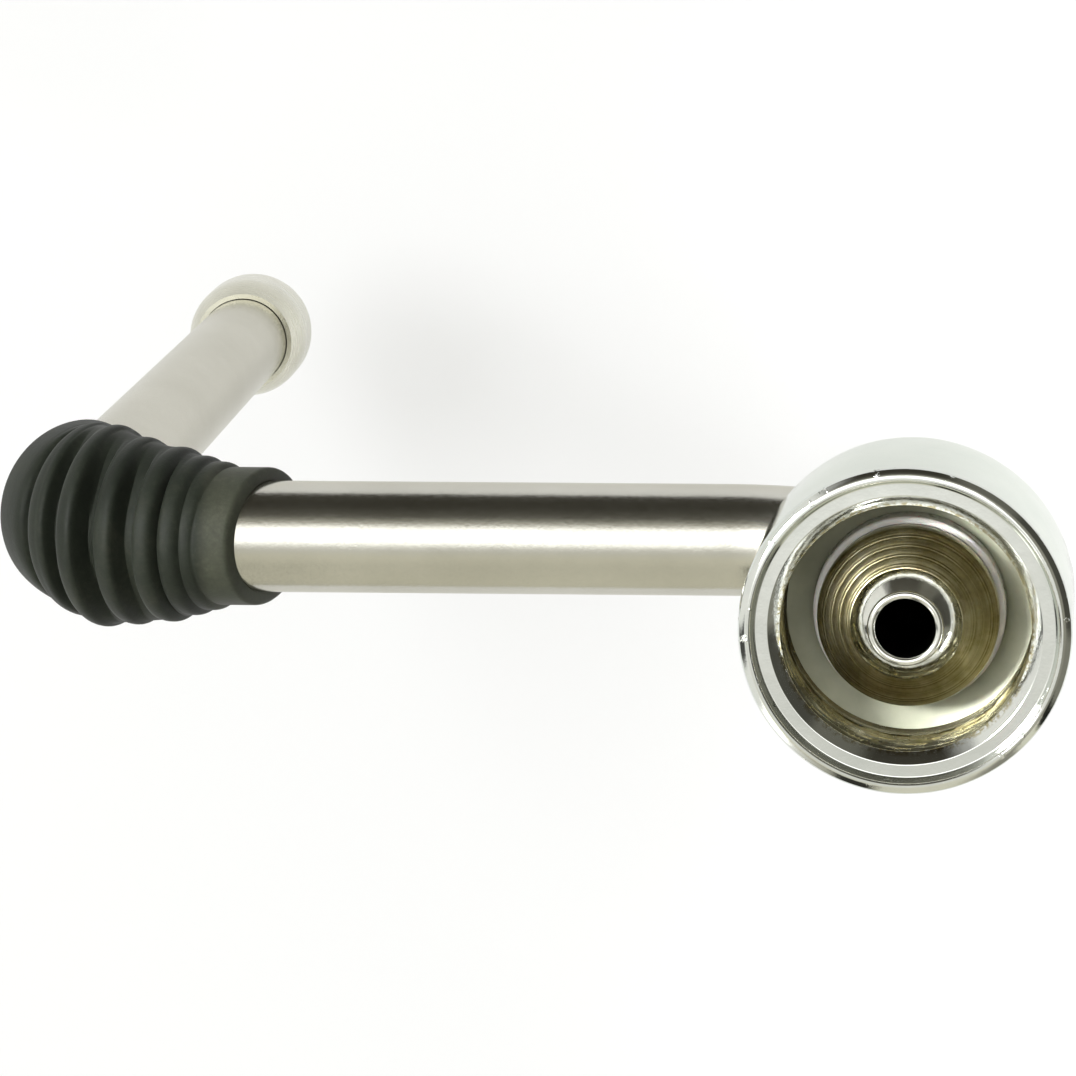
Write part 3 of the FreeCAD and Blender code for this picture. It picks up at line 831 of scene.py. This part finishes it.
def make_floor():
    """Round pale table top, four centimetres under the tip."""
    level = cad_low.z - FLOOR_DROP
    rim = []
    for k in range(FLOOR_STEPS):
        turn = 2 * math.pi * k / FLOOR_STEPS
        rim.append((FLOOR_RADIUS * math.cos(turn), FLOOR_RADIUS * math.sin(turn), level))
    mesh = bpy.data.meshes.new("floor")
    mesh.from_pydata(rim, [], [list(range(FLOOR_STEPS))])
    floor = bpy.data.objects.new("floor", mesh)
    floor.location.x = (cad_low.x + cad_high.x) / 2
    bpy.context.scene.collection.objects.link(floor)
    n = Paint("pale_floor")
    n.set(Roughness=0.9, Specular_IOR_Level=0.1)
    colour = n.ramp(n.noise(3, 2), [(0.0, (0.86, 0.865, 0.90)), (1.0, (0.88, 0.885, 0.92))])
    mesh.materials.append(n.finish(colour))


# Brightness of the studio round the X axis: degrees from straight up, positive toward +Y, then a colour that
# WORLD_STRENGTH multiplies. A large soft box hangs overhead, a dark wall stands on the +Y side and a warm grey
# one opposite.
WORLD_STRENGTH = 2.0
STUDIO = [
    (-180, (0.46, 0.46, 0.44)),
    (-135, (0.32, 0.31, 0.265)),
    (-95, (0.38, 0.37, 0.30)),
    (-50, (0.37, 0.36, 0.295)),
    (-30, (0.40, 0.39, 0.32)),
    (-15, (0.37, 0.37, 0.34)),
    (-8, (0.52, 0.52, 0.49)),
    (-1, (1.10, 1.10, 1.07)),
    (28, (1.10, 1.10, 1.07)),
    (37, (0.26, 0.255, 0.215)),
    (52, (0.10, 0.096, 0.077)),
    (76, (0.045, 0.042, 0.032)),
    (110, (0.05, 0.047, 0.036)),
    (125, (0.20, 0.195, 0.17)),
    (140, (0.42, 0.42, 0.40)),
    (180, (0.46, 0.46, 0.44)),
]
SIDE_LEFT = (0.46, 0.46, 0.43)
SIDE_RIGHT = (0.15, 0.147, 0.12)
# Upright flags and lit gaps round the horizon: degrees from +X toward +Y, then a factor on the brightness.
FLAGS = [
    (0, 0.25), (38, 0.25), (44, 0.5), (128, 0.5), (134, 1.0),
    (190, 1.0), (194, 0.08), (202, 0.08), (206, 1.0),
    (218, 1.0), (222, 2.2), (230, 2.2), (233, 1.0),
    (246, 0.6), (250, 0.05), (258, 0.05), (261, 1.0),
    (302, 1.0), (306, 2.6), (313, 2.6), (315, 0.05), (321, 0.05),
    (325, 0.8), (345, 0.8), (352, 0.25),
]
FLAG_TOP = 0.75


def bearing(n, first, second):
    """Angle of a direction from the second axis toward the first, as 0 to 1 over -180 to 180 degrees."""
    return n.remap(n.math("ARCTAN2", first, second), -math.pi, math.pi)


def make_world():
    """Soft studio surroundings, white where the camera looks straight at them."""
    world = bpy.data.worlds.new("studio")
    bpy.context.scene.world = world
    world.use_nodes = True
    n = Tree(world.node_tree)
    x, y, z = n.axes(n.add("ShaderNodeTexCoord").outputs["Generated"])
    walls = [((degrees + 180) / 360, colour) for degrees, colour in STUDIO]
    colour = n.ramp(bearing(n, y, z), walls)
    colour = n.mix(n.remap(x, -0.38, -0.62, smooth=True), colour, SIDE_LEFT)
    colour = n.mix(n.remap(x, 0.18, 0.42, smooth=True), colour, SIDE_RIGHT)
    compass = sorted(((degrees + 180) % 360 / 360, (factor,) * 3) for degrees, factor in FLAGS)
    flags = n.ramp(bearing(n, y, x), compass)
    colour = n.mix(n.remap(z, FLAG_TOP, FLAG_TOP - 0.15, smooth=True), colour, flags, "MULTIPLY")
    white = (1.0 / WORLD_STRENGTH,) * 3
    seen = n.add("ShaderNodeLightPath").outputs["Is Camera Ray"]
    background = n.tree.nodes["Background"]
    n.link(n.mix(seen, colour, white), background.inputs["Color"])
    background.inputs["Strength"].default_value = WORLD_STRENGTH


def add_softbox(name, place, target, size, power, spread=180.0, reflected=False):
    """Round soft light, narrowed by a grid when spread is small. Most are kept out of the reflections."""
    light = bpy.data.lights.new(name, "AREA")
    light.shape = "DISK"
    light.size = size
    light.energy = power
    light.spread = math.radians(spread)
    lamp = bpy.data.objects.new(name, light)
    lamp.location = place
    lamp.rotation_mode = "QUATERNION"
    lamp.rotation_quaternion = (Vector(target) - Vector(place)).to_track_quat("-Z", "Y")
    lamp.visible_camera = False
    lamp.visible_glossy = reflected
    bpy.context.scene.collection.objects.link(lamp)


def make_camera():
    """Camera above the nut's mouth, looking down at the middle of the crank, with +Y up in the picture."""
    eye = Vector((16.1, 75.4, 354.6)) * MM
    target = Vector((-34.5, 0.0, -33.9)) * MM
    data = bpy.data.cameras.new("camera")
    data.sensor_width = 36.0
    data.lens = 149.1
    data.clip_start = 0.01
    data.clip_end = 50.0
    camera = bpy.data.objects.new("camera", data)
    back = (eye - target).normalized()
    right = Vector((0, 1, 0)).cross(back).normalized()
    up = back.cross(right)
    turn = Matrix((right, up, back)).transposed().to_4x4()
    camera.matrix_world = Matrix.Translation(eye) @ turn
    bpy.context.scene.collection.objects.link(camera)
    bpy.context.scene.camera = camera


make_camera()
make_world()
make_floor()
wand_middle = (-0.03, 0, -0.1)
nut_mouth = (0, 0, 0)
add_softbox("key", (-0.35, 0.25, 0.9), wand_middle, size=0.5, power=4.2)
add_softbox("fill", (0.5, -0.6, 0.6), wand_middle, size=0.6, power=2.0)
add_softbox("snoot", (-0.28, 0.12, 0.36), nut_mouth, size=0.14, power=0.13, spread=24.0, reflected=True)
bpy.context.scene.view_settings.view_transform = "Standard"

make_nut(chrome_material(), thread_material(), floor_material())
make_seat_ring(ring_material())
make_ball(brass_material())
make_nose(nose_material())
make_tube(tube_material())
make_grip(rubber_material())
dress("tip_bush", bush_material())
dress("tip_o_ring", seal_material())
dress("steam_tip", tip_material())
